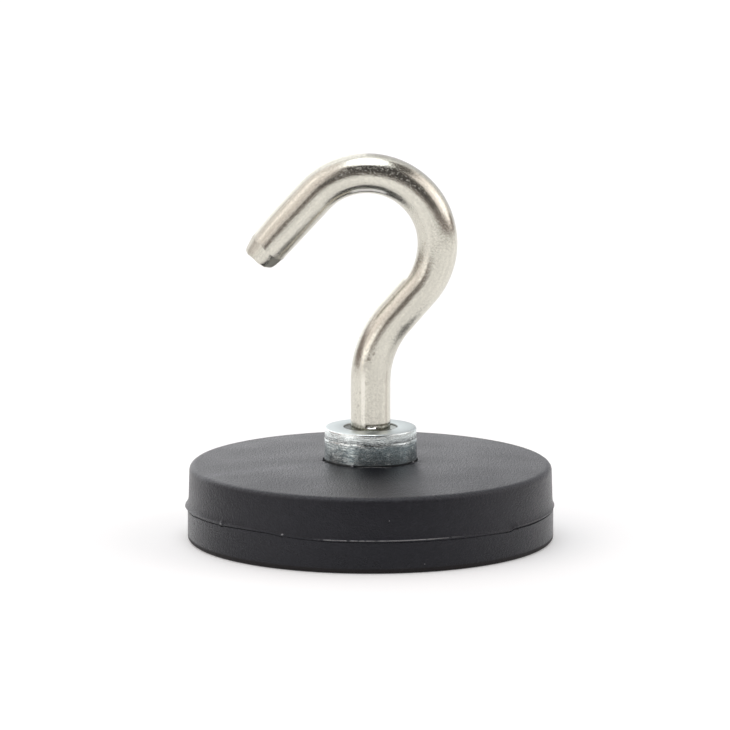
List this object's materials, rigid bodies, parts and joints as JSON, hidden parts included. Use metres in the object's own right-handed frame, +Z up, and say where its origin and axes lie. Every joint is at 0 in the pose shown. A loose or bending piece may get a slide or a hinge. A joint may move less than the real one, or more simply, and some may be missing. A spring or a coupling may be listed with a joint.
{
  "type": "magnet fishing magnet",
  "caption": "Rubber-coated disc magnet with a threaded steel bush in its centre and an open wire hook screwed into it, for pulling iron finds from water.",
  "frame": {"origin": "centre of the pull face, the flat underside of the rubber", "axes": "+Z up out of the threaded bush along its axis, +X the way the hook's loop bulges (its open side and tip are towards -X), +Y away from the viewer, square to the plane of the hook"},
  "size_m": [0.067, 0.067, 0.0703],
  "materials": {
    "black_rubber": "matt moulded black rubber, faintly mottled, with a trimmed mould line",
    "zinc_plated_steel": "turned steel, bluish zinc plate, fine turning marks",
    "nickel_plated_wire": "drawn steel wire, bright warm nickel plate with small pits",
    "bare_steel": "ground mild steel plate",
    "magnet_nickel": "nickel-plated sintered neodymium",
    "natural_nylon": "natural moulded nylon"
  },
  "bodies": {
    "magnet": {"back_plate": "bare_steel", "magnet_locator": "natural_nylon", "magnet_ring1_01": "magnet_nickel", "magnet_ring1_02": "magnet_nickel", "magnet_ring1_03": "magnet_nickel", "magnet_ring1_04": "magnet_nickel", "magnet_ring1_05": "magnet_nickel", "magnet_ring1_06": "magnet_nickel", "magnet_ring1_07": "magnet_nickel", "magnet_ring1_08": "magnet_nickel", "magnet_ring1_09": "magnet_nickel", "magnet_ring1_10": "magnet_nickel", "magnet_ring1_11": "magnet_nickel", "magnet_ring1_12": "magnet_nickel", "magnet_ring1_13": "magnet_nickel", "magnet_ring1_14": "magnet_nickel", "magnet_ring2_01": "magnet_nickel", "magnet_ring2_02": "magnet_nickel", "magnet_ring2_03": "magnet_nickel", "magnet_ring2_04": "magnet_nickel", "magnet_ring2_05": "magnet_nickel", "magnet_ring2_06": "magnet_nickel", "rubber_coat": "black_rubber", "threaded_bush": "zinc_plated_steel"},
    "hook": {"hook": "nickel_plated_wire"}
  },
  "joints": [
    {"name": "hook_turn", "type": "hinge", "parent": "magnet", "child": "hook", "pos_m": [0, 0, 0.0205], "axis": [0, 0, 1], "range_deg": [0, 2700]}
  ]
}
